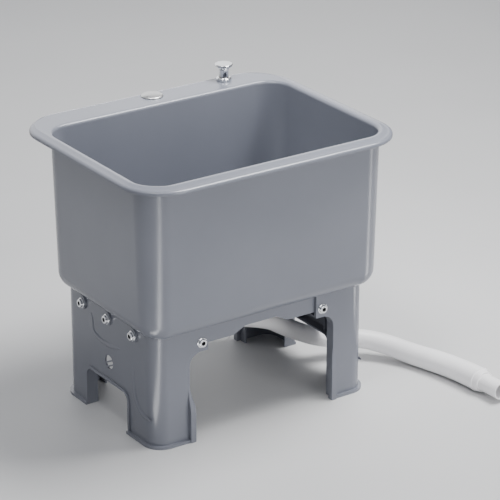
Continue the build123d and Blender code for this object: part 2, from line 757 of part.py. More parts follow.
# The drain body: a cup screwed on the throat, with a crank housing behind it and a sloping
# outlet towards the right.
body_top = nut_low - 1
outlet_plane = Plane((drain_x, drain_y, outlet_height), x_dir=(0, 1, 0),
                     z_dir=(math.cos(math.radians(outlet_slope)), 0,
                            -math.sin(math.radians(outlet_slope))))
with BuildPart() as drain_body:
    with BuildSketch(Plane.XY.offset(body_bottom)):
        with Locations(drain):
            Circle(body_radius)
    extrude(amount=body_top - body_bottom)
    fillet(drain_body.faces().sort_by(Axis.Z)[0].edges(), radius=8)
    with Locations((drain_x, drain_y, (housing_bottom + housing_top) / 2)):
        Box(housing_width, housing_reach, housing_top - housing_bottom,
            align=(Align.CENTER, Align.MIN, Align.CENTER))
    with BuildSketch(outlet_plane):
        Circle(outlet_radius)
    extrude(amount=outlet_reach)
    with BuildSketch(outlet_plane.offset(outlet_reach - hose_nut_length - 3)):
        Circle(outlet_radius + 3)
    extrude(amount=2.5)
    bore_radius = body_radius - body_wall
    with BuildSketch(Plane.XY.offset(body_bottom + body_wall)):
        with Locations(drain):
            Circle(bore_radius)
    extrude(amount=body_top - body_bottom - body_wall - body_collar, mode=Mode.SUBTRACT)
    with BuildSketch(Plane.XY.offset(body_top)):
        with Locations(drain):
            Circle(throat_outer)
    extrude(amount=-(body_collar + 1), mode=Mode.SUBTRACT)
    inner_width = housing_width - 2 * housing_wall
    with Locations((drain_x, drain_y, (housing_bottom + housing_top) / 2)):
        Box(inner_width, housing_reach - housing_wall,
            housing_top - housing_bottom - 2 * housing_wall,
            align=(Align.CENTER, Align.MIN, Align.CENTER), mode=Mode.SUBTRACT)
    with BuildSketch(outlet_plane):
        Circle(outlet_bore)
    extrude(amount=outlet_reach + 1, mode=Mode.SUBTRACT)
    pin_plane = Plane((drain_x, drain_y + pivot_reach, pivot_height), z_dir=(1, 0, 0))
    with BuildSketch(pin_plane):
        Circle(crank_pin_radius)
    extrude(amount=housing_width, both=True, mode=Mode.SUBTRACT)
    with BuildSketch(Plane((drain_x, drain_y + housing_reach, wire_height), z_dir=(0, 1, 0))):
        Circle(wire_radius + moving_gap)
    extrude(amount=-2 * housing_wall, mode=Mode.SUBTRACT)
finish(drain_body, "drain_body")

with BuildPart() as crank_pin:
    with BuildSketch(pin_plane.offset(-housing_width / 2 - 1)):
        Circle(crank_pin_radius)
    extrude(amount=housing_width + 2)
finish(crank_pin, "crank_pin")

# The bell crank: its long arm lies under the stopper's stem, its upright arm is pulled by
# the wire.
crank_plane = Plane((drain_x - crank_thick / 2, drain_y + pivot_reach, pivot_height),
                    x_dir=(0, 1, 0), z_dir=(1, 0, 0))
with BuildPart() as lift_crank:
    with BuildSketch(crank_plane):
        with Locations((-crank_arm / 2, 0)):
            SlotCenterToCenter(crank_arm, 2 * crank_half)
        with Locations(Location((0, crank_rise / 2), 90)):
            SlotCenterToCenter(crank_rise, 2 * crank_half)
        Circle(crank_half + 2)
        Circle(crank_pin_radius + running_gap, mode=Mode.SUBTRACT)
    extrude(amount=crank_thick)
    slot_size = 2 * (wire_radius + moving_gap)
    with Locations((drain_x, drain_y + pivot_reach, wire_height - 3)):
        Box(slot_size, 4 * crank_half, 12, align=(Align.CENTER, Align.CENTER, Align.MIN),
            mode=Mode.SUBTRACT)
finish(lift_crank, "lift_crank")

nipple_y = drain_y + pivot_reach - crank_half - moving_gap - nipple_radius
sheath_end_y = drain_y + housing_reach
with BuildPart() as crank_wire:
    with BuildSketch(Plane((drain_x - crank_thick / 2, nipple_y, wire_height),
                           z_dir=(1, 0, 0))):
        Circle(nipple_radius)
    extrude(amount=crank_thick)
    with BuildSketch(Plane((drain_x, nipple_y, wire_height), z_dir=(0, 1, 0))):
        Circle(wire_radius)
    extrude(amount=sheath_end_y - nipple_y + wire_tail)
finish(crank_wire, "crank_wire")

with BuildPart() as pull_wire:
    with BuildSketch(Plane.XY.offset(stem_bottom)):
        with Locations((knob_x, knob_y)):
            Circle(wire_radius)
    extrude(amount=-(stem_bottom - bush_bottom + wire_tail))
finish(pull_wire, "pull_wire")

# The sheath of the pull cable: from the bush, down behind the tub, under the rear rail and
# into the crank housing, with a ferrule at each end.
sheath_wall = cavity_rear + tub_wall
sheath_route = [(knob_x, knob_y, bush_bottom), (knob_x, knob_y, bush_bottom - 44),
                (knob_x - 3, sheath_wall + 11.5, 330), (knob_x - 8, sheath_wall + 5, 262),
                (knob_x - 28, stand_rear + 24.5, tub_base - 2),
                (knob_x - 70, stand_rear + 10.5, flange_bottom - 13),
                (drain_x + 30, stand_rear - 15.5, wire_height - 22),
                (drain_x, sheath_end_y + 45, wire_height), (drain_x, sheath_end_y, wire_height)]


def arc_radii(route, share=0.45):
    """The radius of the arc at each corner of a route: as large as its two runs allow."""
    points = [Vector(*point) for point in route]
    radii = []
    for before, here, after in zip(points, points[1:], points[2:]):
        arriving = here - before
        leaving = after - here
        half_turn = math.radians(arriving.get_angle(leaving)) / 2
        shorter = min(arriving.length, leaving.length)
        radii.append(share * shorter / math.tan(half_turn))
    return radii


def tube_along(route, radius, name):
    """A round tube swept along straight runs and tangent arcs, checked by its volume."""
    radii = arc_radii(route)
    with BuildPart() as tube:
        with BuildLine() as path:
            FilletPolyline(*route, radius=radii)
        heading = Vector(*route[1]) - Vector(*route[0])
        with BuildSketch(Plane(route[0], z_dir=heading)):
            Circle(radius)
        sweep(path=path.wires()[0])
    length = path.wires()[0].length
    expected = math.pi * radius ** 2 * length
    print(name, "arc radii", [round(value) for value in radii],
          "length", round(length, 1),
          "volume ratio", round(tube.part.volume / expected, 4))
    return tube.part


with BuildPart() as cable_sheath:
    add(tube_along(sheath_route, sheath_radius, "cable_sheath"))
    for seat, direction in (((knob_x, knob_y, bush_bottom), (0, 0, -1)),
                            ((drain_x, sheath_end_y, wire_height), (0, 1, 0))):
        with BuildSketch(Plane(seat, z_dir=direction)):
            Circle(ferrule_radius)
        extrude(amount=ferrule_length)
        with BuildSketch(Plane(seat, z_dir=direction)):
            Circle(sheath_bore)
        extrude(amount=wire_tail + knob_travel + 2, mode=Mode.SUBTRACT)
finish(cable_sheath, "cable_sheath")

with BuildPart() as cable_clips:
    for clip_z in clip_heights:
        with Locations((knob_x - clip_shift, cavity_rear, clip_z)):
            Box(clip_width, clip_reach, clip_height,
                align=(Align.CENTER, Align.MIN, Align.CENTER))
    add(tub.part, mode=Mode.SUBTRACT)
    add(tube_along(sheath_route, sheath_radius + moving_gap, "clip_bore"), mode=Mode.SUBTRACT)
finish(cable_clips, "cable_clips")


# ================================================================== outlet and hose
nut_start = outlet_reach - hose_nut_length
with BuildPart() as hose_seal:
    with BuildSketch(outlet_plane.offset(outlet_reach)):
        Circle(outlet_radius)
        Circle(outlet_bore, mode=Mode.SUBTRACT)
    extrude(amount=hose_seal_length)
finish(hose_seal, "hose_seal")

hose_start_plane = outlet_plane.offset(outlet_reach + hose_seal_length)
with BuildPart() as hose_nut:
    with BuildSketch(outlet_plane.offset(nut_start)):
        Circle(hose_nut_radius - 1.5)
        with PolarLocations(hose_nut_radius - 1.5, 12):
            Circle(1.5)
    extrude(amount=hose_nut_length + hose_seal_length)
    with BuildSketch(outlet_plane.offset(nut_start)):
        Circle(outlet_radius)
    extrude(amount=hose_nut_length + hose_seal_length, mode=Mode.SUBTRACT)
finish(hose_nut, "hose_nut")

# The free hose: its start is square to the slip nut, then it sinks through the right arch
# and turns along the floor towards the front.
hose_start = hose_start_plane.origin
hose_second = hose_start_plane.offset(54.7).origin
hose_route = [tuple(hose_start), tuple(hose_second), (149.5, 0.8, 69.9), (201.9, -10.8, 42.7),
              (241.5, -24.3, 34.6), (275.6, -44.7, 34.1), (303.5, -72.1, 28.1),
              (326.8, -112.9, 17.9), (337.6, -146.0, 17.9)]
with BuildPart() as drain_hose:
    add(tube_along(hose_route, hose_radius, "drain_hose"))
finish(drain_hose, "drain_hose")

# The hose cuff: a moulded sleeve that swells towards its ring and bends a little.
hose_end = Vector(*hose_route[-1])
last_run = hose_end - Vector(*hose_route[-2])
cuff_heading = math.degrees(math.atan2(last_run.Y, last_run.X))
cuff_steps = 5


def cuff_plane(share):
    """A plane square to the cuff's gently bending line, lying on the floor."""
    radius = cuff_start_radius + (cuff_end_radius - cuff_start_radius) * share
    middle = math.radians(cuff_heading - cuff_turn * share / 2)
    heading = math.radians(cuff_heading - cuff_turn * share)
    reach = cuff_length * share
    origin = (hose_end.X + reach * math.cos(middle), hose_end.Y + reach * math.sin(middle),
              radius + 0.4)
    return Plane(origin, x_dir=(0, 0, 1), z_dir=(math.cos(heading), math.sin(heading), 0))


with BuildPart() as hose_cuff:
    for step in range(cuff_steps + 1):
        share = step / cuff_steps
        with BuildSketch(cuff_plane(share)):
            Circle(cuff_start_radius + (cuff_end_radius - cuff_start_radius) * share)
    loft()
    with BuildSketch(cuff_plane(1)):
        Circle(cuff_end_radius)
    extrude(amount=cuff_ring)
    with BuildSketch(cuff_plane(1)):
        Circle(cuff_nose_radius)
    extrude(amount=cuff_ring + cuff_nose)
    with BuildSketch(cuff_plane(1)):
        Circle(spigot_shoulder)
    extrude(amount=cuff_ring + cuff_nose + 1, mode=Mode.SUBTRACT)
finish(hose_cuff, "hose_cuff")

with BuildPart() as hose_spigot:
    with BuildSketch(cuff_plane(1)):
        Circle(spigot_shoulder)
    extrude(amount=cuff_ring + cuff_nose)
    with BuildSketch(cuff_plane(1).offset(cuff_ring + cuff_nose)):
        Circle(spigot_radius)
    extrude(amount=spigot_length)
    with BuildSketch(cuff_plane(1)):
        Circle(spigot_radius - spigot_wall)
    extrude(amount=cuff_ring + cuff_nose + spigot_length, mode=Mode.SUBTRACT)
finish(hose_spigot, "hose_spigot")
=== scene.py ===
import bmesh
import bpy
import math
from mathutils import Matrix, Vector


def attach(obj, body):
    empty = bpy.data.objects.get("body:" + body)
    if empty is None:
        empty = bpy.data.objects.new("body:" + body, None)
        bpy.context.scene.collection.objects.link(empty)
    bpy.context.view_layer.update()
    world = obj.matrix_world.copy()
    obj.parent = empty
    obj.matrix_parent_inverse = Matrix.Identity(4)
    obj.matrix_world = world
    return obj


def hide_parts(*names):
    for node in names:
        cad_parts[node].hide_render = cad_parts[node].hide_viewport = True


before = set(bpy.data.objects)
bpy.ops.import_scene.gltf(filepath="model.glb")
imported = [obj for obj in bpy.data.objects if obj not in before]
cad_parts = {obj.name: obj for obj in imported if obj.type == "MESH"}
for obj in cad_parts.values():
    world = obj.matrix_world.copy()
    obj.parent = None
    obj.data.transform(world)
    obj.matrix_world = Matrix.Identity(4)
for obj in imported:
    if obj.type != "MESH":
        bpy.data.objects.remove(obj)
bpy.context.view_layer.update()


# ---------------------------------------------------------------- studio
# A plain pale floor under a broad light from above on the right, a weaker one from the front
# and two faint fills.  Panels that only reflections show stand behind and lie on the floor.
def plain_floor():
    """A wide matt floor, the plainest ground that still catches shadows."""
    bpy.ops.object.select_all(action="DESELECT")
    bpy.ops.mesh.primitive_plane_add(size=14, location=(0, 0, 0))
    floor = bpy.context.object
    floor.name = "studio_floor"
    mat = bpy.data.materials.new("studio_floor_paint")
    mat.use_nodes = True
    nodes, links = mat.node_tree.nodes, mat.node_tree.links
    shader = nodes["Principled BSDF"]
    coords = nodes.new("ShaderNodeTexCoord")
    speckle = nodes.new("ShaderNodeTexNoise")
    speckle.inputs["Scale"].default_value = 3.0
    ramp = nodes.new("ShaderNodeValToRGB")
    ramp.color_ramp.elements[0].color = (0.58, 0.58, 0.58, 1)
    ramp.color_ramp.elements[1].color = (0.63, 0.63, 0.63, 1)
    links.new(coords.outputs["Object"], speckle.inputs["Vector"])
    links.new(speckle.outputs["Fac"], ramp.inputs["Fac"])
    links.new(ramp.outputs["Color"], shader.inputs["Base Color"])
    shader.inputs["Roughness"].default_value = 0.55
    floor.data.materials.append(mat)


def soft_light(name, place, aim, size, power, height=None, spread=180):
    """A square or oblong panel of light at a place, turned towards an aim."""
    bpy.ops.object.light_add(type="AREA", location=place)
    lamp = bpy.context.object
    lamp.name = name
    lamp.data.size = size
    if height:
        lamp.data.shape = "RECTANGLE"
        lamp.data.size_y = height
    lamp.data.energy = power
    lamp.data.spread = math.radians(spread)
    lamp.visible_camera = False
    lamp.rotation_euler = (Vector(aim) - Vector(place)).to_track_quat("-Z", "Y").to_euler()
    return lamp


def floor_glow(name, near, far, width, power):
    """A narrow panel lying on the floor that shows only as a shine along an upright corner."""
    run = Vector(far) - Vector(near)
    middle = (Vector(far) + Vector(near)) / 2
    lamp = soft_light(name, middle, middle + Vector((0, 0, 1)), width, power, height=run.length)
    lamp.rotation_euler = (math.pi, 0, math.atan2(run.y, run.x) + math.pi / 2)
    lamp.visible_diffuse = False


plain_floor()
soft_light("front_light", (0.5, -3.0, 1.0), (0.0, -0.15, 0.30), 1.4, 36)
soft_light("top_light", (0.95, -0.35, 2.4), (0.0, 0.0, 0.4), 1.1, 92)
soft_light("left_fill", (-0.9, 0.35, 2.4), (0.0, 0.0, 0.4), 0.9, 1.5)
soft_light("basin_light", (-0.42, -0.25, 1.6), (0.17, 0.04, 0.34), 0.5, 0.8, spread=34)
back_panel = soft_light("back_panel", (0.25, 2.4, 1.1), (0.0, 0.0, 0.7), 4.2, 34, height=1.7)
back_panel.visible_diffuse = False
floor_glow("left_corner_sheen", (-0.40, -0.44, 0.004), (-0.66, -1.26, 0.004), 0.24, 1.3)
floor_glow("left_corner_line", (-0.31, -0.16, 0.005), (-0.66, -1.26, 0.005), 0.08, 2.0)
floor_glow("right_corner_line", (0.45, -0.335, 0.004), (1.25, -0.835, 0.004), 0.07, 2.2)

# The surround is dark below the horizon and pale above it.
surround = bpy.data.worlds.new("studio_surround")
surround.use_nodes = True
sky_nodes, sky_links = surround.node_tree.nodes, surround.node_tree.links
sky_coords = sky_nodes.new("ShaderNodeTexCoord")
sky_split = sky_nodes.new("ShaderNodeSeparateXYZ")
sky_ramp = sky_nodes.new("ShaderNodeValToRGB")
sky_ramp.color_ramp.elements[0].position = 0.12
sky_ramp.color_ramp.elements[0].color = (0.16, 0.16, 0.17, 1)
sky_ramp.color_ramp.elements[1].position = 0.55
sky_ramp.color_ramp.elements[1].color = (0.93, 0.95, 1.0, 1)
sky_links.new(sky_coords.outputs["Generated"], sky_split.inputs["Vector"])
sky_links.new(sky_split.outputs["Z"], sky_ramp.inputs["Fac"])
sky_links.new(sky_ramp.outputs["Color"], sky_nodes["Background"].inputs["Color"])
sky_nodes["Background"].inputs["Strength"].default_value = 0.62
bpy.context.scene.world = surround

# The camera stands where the photograph was taken from: left of the front, looking down.
bpy.ops.object.camera_add(location=(-2.0907, -3.2008, 1.8538))
camera = bpy.context.object
camera.name = "photo_camera"
camera.data.sensor_width = 36
camera.data.lens = 182.4
aim = Vector((0.0749, -0.0018, 0.230))
camera.rotation_euler = (aim - camera.location).to_track_quat("-Z", "Y").to_euler()
bpy.context.scene.camera = camera


# ---------------------------------------------------------------- drain hose
# White flexible plastic hose, 32 mm across.  It hangs out of its slip nut, sinks through
# the right end frame's arch and turns along the floor to the front.
gloss_swing = 0.03     # how far the roughness varies either way


def moulded_plastic(name, low, high, roughness, grain, depth, coat=0.0):
    """A moulded plastic: a faint cloudy change of tone, uneven gloss and a fine grain."""
    mat = bpy.data.materials.new(name)
    mat.use_nodes = True
    nodes, links = mat.node_tree.nodes, mat.node_tree.links
    shader = nodes["Principled BSDF"]
    coords = nodes.new("ShaderNodeTexCoord")
    cloud = nodes.new("ShaderNodeTexNoise")
    cloud.inputs["Scale"].default_value = 7.0
    cloud.inputs["Detail"].default_value = 3.0
    tone = nodes.new("ShaderNodeValToRGB")
    tone.color_ramp.interpolation = "EASE"
    tone.color_ramp.elements[0].position = 0.15
    tone.color_ramp.elements[1].position = 0.85
    tone.color_ramp.elements[0].color = (*low, 1)
    tone.color_ramp.elements[1].color = (*high, 1)
    gloss = nodes.new("ShaderNodeMapRange")
    gloss.inputs["To Min"].default_value = roughness - gloss_swing
    gloss.inputs["To Max"].default_value = roughness + gloss_swing
    fine = nodes.new("ShaderNodeTexNoise")
    fine.inputs["Scale"].default_value = grain
    fine.inputs["Detail"].default_value = 2.0
    bump = nodes.new("ShaderNodeBump")
    bump.inputs["Strength"].default_value = 0.25
    bump.inputs["Distance"].default_value = depth
    links.new(coords.outputs["Object"], cloud.inputs["Vector"])
    links.new(coords.outputs["Object"], fine.inputs["Vector"])
    links.new(cloud.outputs["Fac"], tone.inputs["Fac"])
    links.new(tone.outputs["Color"], shader.inputs["Base Color"])
    links.new(cloud.outputs["Fac"], gloss.inputs["Value"])
    links.new(gloss.outputs["Result"], shader.inputs["Roughness"])
    links.new(fine.outputs["Fac"], bump.inputs["Height"])
    links.new(bump.outputs["Normal"], shader.inputs["Normal"])
    shader.inputs["Coat Weight"].default_value = coat
    shader.inputs["Coat Roughness"].default_value = 0.25
    return mat


def stand_in_for(piece, name, mat, slot, body, *nodes):
    """Name and dress a finished piece, and let it ride in the place of CAD nodes.

    A piece that already has two materials on its faces, such as chrome with painted shade in
    its sockets, keeps them.
    """
    piece.name = name
    piece.data.name = name
    if len(piece.data.materials) < 2:
        piece.data.materials.clear()
        piece.data.materials.append(mat)
    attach(piece, body)
    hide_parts(*nodes)


hose_plastic = moulded_plastic("hose_plastic", (0.90, 0.89, 0.90), (0.95, 0.94, 0.95),
                               0.36, 900, 0.0002, coat=0.15)
hose_radius = 0.016
hose_route = [(0.048283, -0.011, 0.118409), (0.101104, -0.011, 0.104196),
              (0.1495, 0.0008, 0.0699), (0.2019, -0.0108, 0.0427),
              (0.2415, -0.0243, 0.0346), (0.2756, -0.0447, 0.0341),
              (0.3035, -0.0721, 0.0281), (0.3268, -0.1129, 0.0192),
              (0.3376, -0.1460, 0.0192)]
hose_swell = [1, 1, 1, 1, 1, 1.01, 1.08, 1.14, 1.165]     # it widens towards its cuff
hose_line = bpy.data.curves.new("drain_hose_tube", "CURVE")
hose_line.dimensions = "3D"
hose_spline = hose_line.splines.new("NURBS")
hose_spline.points.add(len(hose_route) - 1)
for point, place, swell in zip(hose_spline.points, hose_route, hose_swell):
    point.co = (*place, 1)
    point.radius = swell
hose_spline.order_u = 3
hose_spline.use_endpoint_u = True
hose_spline.resolution_u = 16
hose_line.bevel_depth = hose_radius
hose_line.bevel_resolution = 10
hose_line.use_fill_caps = True
hose = bpy.data.objects.new("drain_hose_tube", hose_line)
bpy.context.collection.objects.link(hose)
stand_in_for(hose, "drain_hose_tube", hose_plastic, "hose_plastic", "sink", "drain_hose")


# ---------------------------------------------------------------- hose cuff and spigot
# A stiffer white sleeve is moulded over the hose's end.  It swells towards a bead and a
# rounded nose, and a plain spigot stands out of it for the waste pipe.
def only(piece):
    """Select one object alone and make it the active one."""
    bpy.ops.object.select_all(action="DESELECT")
    piece.select_set(True)
    bpy.context.view_layer.objects.active = piece


def facing(place, towards):
    """The matrix that sets a shape at a place and turns its own +Z along a direction."""
    turn = Vector(towards).to_track_quat("Z", "Y").to_matrix().to_4x4()
    return Matrix.Translation(place) @ turn


def settle():
    """Put the selected piece's place, turn and scale into its mesh."""
    bpy.ops.object.transform_apply(location=True, rotation=True, scale=True)


def circle_ring(count, radius, place, towards):
    """A bare ring of vertices, square to a direction."""
    bpy.ops.object.select_all(action="DESELECT")
    bpy.ops.mesh.primitive_circle_add(vertices=count, radius=radius)
    ring = bpy.context.object
    ring.matrix_world = facing(place, towards)
    settle()
    return ring


def face_outwards(piece):
    """Turn every face outwards, as the sign of the closed shape's volume shows."""
    only(piece)
    bpy.ops.object.mode_set(mode="EDIT")
    bpy.ops.mesh.select_all(action="SELECT")
    bpy.ops.mesh.normals_make_consistent(inside=False)
    bpy.ops.object.mode_set(mode="OBJECT")
    if sum(face.area * face.normal.dot(face.center) for face in piece.data.polygons) < 0:
        bpy.ops.object.mode_set(mode="EDIT")
        bpy.ops.mesh.flip_normals()
        bpy.ops.object.mode_set(mode="OBJECT")


def bridged(rings):
    """Join rings of one count and bridge each to the next, and the last to the first."""
    count = len(rings[0].data.vertices)
    total = len(rings)
    only(rings[0])
    for ring in rings:
        ring.select_set(True)
    bpy.ops.object.join()
    piece = bpy.context.object
    shell = bmesh.new()
    shell.from_mesh(piece.data)
    shell.verts.ensure_lookup_table()
    hoop = [tuple(vertex.index for vertex in edge.verts) for edge in shell.edges]
    hoop = [pair for pair in hoop if max(pair) < count]
    for here in range(total):
        near, far = here * count, (here + 1) % total * count
        for first, second in hoop:
            corners = (near + first, near + second, far + second, far + first)
            shell.faces.new([shell.verts[index] for index in corners])
    shell.to_mesh(piece.data)
    shell.free()
    face_outwards(piece)
    return piece


def shade(piece, limit=35):
    """Smooth shading up to an angle, with the large faces kept flat."""
    only(piece)
    bpy.ops.object.shade_smooth_by_angle(angle=math.radians(limit))
    flats = piece.modifiers.new("flats", "WEIGHTED_NORMAL")
    flats.keep_sharp = True
    bpy.ops.object.modifier_apply(modifier=flats.name)


hose_end = Vector(hose_route[-1])
cuff_length = 0.120
cuff_turn = math.radians(16)
cuff_start_radius, cuff_end_radius = 0.0189, 0.0206
cuff_lift = 0.0004
hose_socket, spigot_socket = 0.0150, 0.01705
last_run = hose_end - Vector(hose_route[-2])
cuff_heading = math.atan2(last_run.y, last_run.x)


def on_cuff(share, beyond=0.0):
    """A place on the cuff's gently bending line, and the way it runs there."""
    radius = cuff_start_radius + (cuff_end_radius - cuff_start_radius) * share
    middle = cuff_heading - cuff_turn * share / 2
    heading = cuff_heading - cuff_turn * share
    reach = cuff_length * share
    run = Vector((math.cos(heading), math.sin(heading), 0))
    place = Vector((hose_end.x + reach * math.cos(middle),
                    hose_end.y + reach * math.sin(middle),
                    radius + cuff_lift))
    return place + run * beyond, run


# (share of the cuff, distance beyond it, radius): the sleeve, its bead, its nose, its bore
cuff_outline = [(0.0, 0.0, 0.0184), (0.0, 0.0004, 0.0187), (0.02, 0, 0.0189), (0.12, 0, 0.0191),
                (0.25, 0, 0.0193), (0.4, 0, 0.0195), (0.55, 0, 0.0197), (0.7, 0, 0.0199),
                (0.85, 0, 0.0201), (0.97, 0, 0.0203),
                (1, -0.0008, 0.0206), (1, 0.0002, 0.0209), (1, 0.0014, 0.0210),
                (1, 0.0022, 0.0207), (1, 0.0025, 0.0200), (1, 0.0026, 0.0189),
                (1, 0.0030, 0.0187), (1, 0.0080, 0.0186), (1, 0.0110, 0.0184),
                (1, 0.0126, 0.0180), (1, 0.0133, 0.0175), (1, 0.0135, spigot_socket),
                (1, 0.0002, spigot_socket), (1, 0.0, hose_socket),
                (0.5, 0, hose_socket), (0.0, 0.0004, hose_socket)]
cuff_sides = 48
cuff_rings = []
for share, beyond, radius in cuff_outline:
    place, run = on_cuff(share, beyond)
    cuff_rings.append(circle_ring(cuff_sides, radius, place, run))
cuff = bridged(cuff_rings)
shade(cuff, 50)
stand_in_for(cuff, "hose_cuff_sleeve", hose_plastic, "hose_plastic", "sink", "hose_cuff")


def dress(mat, *nodes):
    """Give CAD nodes whose shape is right a finish of their own."""
    for node in nodes:
        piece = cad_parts[node]
        if not piece.material_slots:
            piece.data.materials.append(mat)
        for item in piece.material_slots:
            item.material = mat


dress(hose_plastic, "hose_spigot")


# ---------------------------------------------------------------- tub
# One grey injection-moulded shell: a rolled rim with a turned-down lip, a rear deck, a deep
# basin with leaning walls, a dished floor with the waste's recess, and a seat for the stand.
def rounded_ring(length, depth, corner, middle, height, steps=14):
    """A bare rounded rectangle of 4 * (steps + 1) vertices, level, at a height."""
    bpy.ops.object.select_all(action="DESELECT")
    bpy.ops.mesh.primitive_plane_add(size=1, location=(0, middle, height))
    ring = bpy.context.object
    ring.scale = (length, depth, 1)
    settle()
    bpy.ops.object.mode_set(mode="EDIT")
    bpy.ops.mesh.select_all(action="SELECT")
    bpy.ops.mesh.bevel(offset=corner, segments=steps, affect="VERTICES", clamp_overlap=False)
    bpy.ops.mesh.delete(type="ONLY_FACE")
    bpy.ops.object.mode_set(mode="OBJECT")
    return ring


def boolean(piece, tool, operation):
    """Cut a closed shape with another, or unite them, and throw the tool away."""
    change = piece.modifiers.new("change", "BOOLEAN")
    change.object = tool
    change.operation = operation
    change.solver = "EXACT"
    only(piece)
    bpy.ops.object.modifier_apply(modifier=change.name)
    bpy.data.objects.remove(tool)


def rod(radius, depth, place, towards, count=40):
    """A plain round tool or boss round a point, along a direction."""
    bpy.ops.object.select_all(action="DESELECT")
    bpy.ops.mesh.primitive_cylinder_add(vertices=count, radius=radius, depth=depth)
    piece = bpy.context.object
    piece.matrix_world = facing(place, towards)
    settle()
    return piece


def block(one, other):
    """A plain box between two opposite corners, given in either order."""
    bpy.ops.object.select_all(action="DESELECT")
    bpy.ops.mesh.primitive_cube_add(size=1, location=[(a + b) / 2 for a, b in zip(one, other)])
    piece = bpy.context.object
    piece.scale = [abs(b - a) for a, b in zip(one, other)]
    settle()
    return piece


rim_length, rim_depth, rim_corner, rim_top = 0.500, 0.408, 0.076, 0.460
basin_mid, stand_mid = -0.014, -0.011
basin_outline, shell_outline = (0.452, 0.318, 0.042), (0.459, 0.325, 0.0455)
shell_top, shell_base = 0.457, 0.192
lip_foot, lip_wall, lip_round, deck_underside = 0.4510, 0.0034, 0.0006, 0.4540
roll_foot, roll_reach, roll_rise = 0.4534, 0.0062, 0.0048
crest_side, crest_front, crest_rear = 0.015, 0.021, 0.004
edge_round, inner_round, outer_round = 0.0055, 0.0245, 0.028
tub_floor, recess_floor, recess_radius = 0.1975, 0.1920, 0.0400
outlet_radius, outlet_foot, hub_radius = 0.0224, 0.1870, 0.0440
foot_outline = (0.411, 0.276, 0.0275)
seat_inner, seat_outer, seat_foot, seat_top = 0.1997, 0.2027, 0.166, 0.194
seat_front, seat_rear, side_boss_x, boss_radius = -0.116, 0.094, 0.1925, 0.007
tap_hole_radius, bush_hole_radius = 0.0155, 0.0078
draft = math.tan(math.radians(1.3))
cap_place, knob_place = (0.004, 0.1835, rim_top), (0.148, 0.1855, rim_top)
side_screw_ys, side_screw_z = (-0.089, -0.011, 0.067), 0.180
tub_plastic = moulded_plastic("tub_plastic", (0.176, 0.187, 0.222), (0.194, 0.205, 0.242),
                              0.24, 1400, 0.0001, coat=0.25)


def rim_ring(side, front, rear, corner, height):
    """A ring of the rim, set in from its outline by different amounts."""
    return rounded_ring(rim_length - 2 * side, rim_depth - front - rear, corner,
                        (front - rear) / 2, height)


def even_rim_ring(inset, height):
    """A ring of the rim, set in from its outline by the same amount all round."""
    return rim_ring(inset, inset, inset, rim_corner - inset, height)


def wall_ring(outline, inset, height, top):
    """A ring of a leaning basin wall, set in by an amount more than its draft."""
    length, depth, corner = outline
    lean = (top - height) * draft + inset
    return rounded_ring(length - 2 * lean, depth - 2 * lean, corner - lean, basin_mid, height)


# The rings run over the whole skin: up the lip, over the rolled rim and its flat crest,
# down into the basin, through the waste's hole, and up the outside to the lip again.
tub_rings = [even_rim_ring(lip_round, lip_foot), even_rim_ring(0, lip_foot + lip_round),
             even_rim_ring(0, roll_foot)]
for turn in (12, 24, 36, 48, 60, 72, 84):
    inset = roll_reach * (1 - math.cos(math.radians(turn)))
    rise = roll_rise * math.sin(math.radians(turn))
    tub_rings.append(rim_ring(inset, inset, 0.6 * inset, rim_corner - inset, roll_foot + rise))
for share, height in ((0.36, 0.45822), (0.46, 0.45836), (0.66, 0.45890), (0.84, 0.45950),
                      (0.93, 0.45982), (1.02, 0.46000), (1.10, 0.45994), (1.18, 0.45966)):
    tub_rings.append(rim_ring(crest_side * share, crest_front * share,
                              crest_rear * share + 0.0014, rim_corner - 0.018 * share, height))
for turn in (12, 30, 48, 66, 90):
    out = edge_round * (1 - math.sin(math.radians(turn)))
    drop = edge_round * (1 - math.cos(math.radians(turn)))
    tub_rings.append(wall_ring(basin_outline, -out, rim_top - 0.0003 - drop, rim_top))
for turn in range(0, 91, 10):
    inset = inner_round * (1 - math.cos(math.radians(turn)))
    height = tub_floor + inner_round * (1 - math.sin(math.radians(turn)))
    tub_rings.append(wall_ring(basin_outline, inset, height, rim_top))
for radius, height in ((0.120, 0.1974), (0.0405, 0.1960), (recess_radius, 0.1957),
                       (recess_radius, 0.1925), (0.0395, recess_floor),
                       (0.0226, recess_floor), (outlet_radius, 0.1918),
                       (outlet_radius, outlet_foot), (0.0435, outlet_foot),
                       (hub_radius, 0.1875), (hub_radius, shell_base)):
    tub_rings.append(rounded_ring(2 * radius, 2 * radius, 0.995 * radius, stand_mid, height))
for height in (shell_base, 0.1929):
    tub_rings.append(rounded_ring(*foot_outline, stand_mid, height))
for turn in range(30, 91, 10):
    inset = outer_round * (1 - math.sin(math.radians(turn)))
    height = shell_base + outer_round * (1 - math.cos(math.radians(turn)))
    tub_rings.append(wall_ring(shell_outline, inset, height, shell_top))
tub_rings += [wall_ring(shell_outline, 0, 0.4545, shell_top),
              wall_ring(shell_outline, -0.0015, 0.4558, shell_top),
              rim_ring(crest_side, crest_front, crest_rear, 0.058, 0.4560),
              even_rim_ring(lip_wall, deck_underside), even_rim_ring(lip_wall, 0.4515),
              even_rim_ring(0.0029, lip_foot)]
tub = bridged(tub_rings)
boolean(tub, rod(tap_hole_radius, 0.02, cap_place, (0, 0, 1)), "DIFFERENCE")
boolean(tub, rod(bush_hole_radius, 0.02, knob_place, (0, 0, 1)), "DIFFERENCE")
for side in (-1, 1):
    seat = block((side * seat_inner, seat_front, seat_foot),
                 (side * seat_outer, seat_rear, seat_top))
    boolean(tub, seat, "UNION")
    for screw_y in side_screw_ys:
        boss = rod(boss_radius, 0.014, (side * side_boss_x, screw_y, side_screw_z), (1, 0, 0))
        boolean(tub, boss, "UNION")
shade(tub, 30)
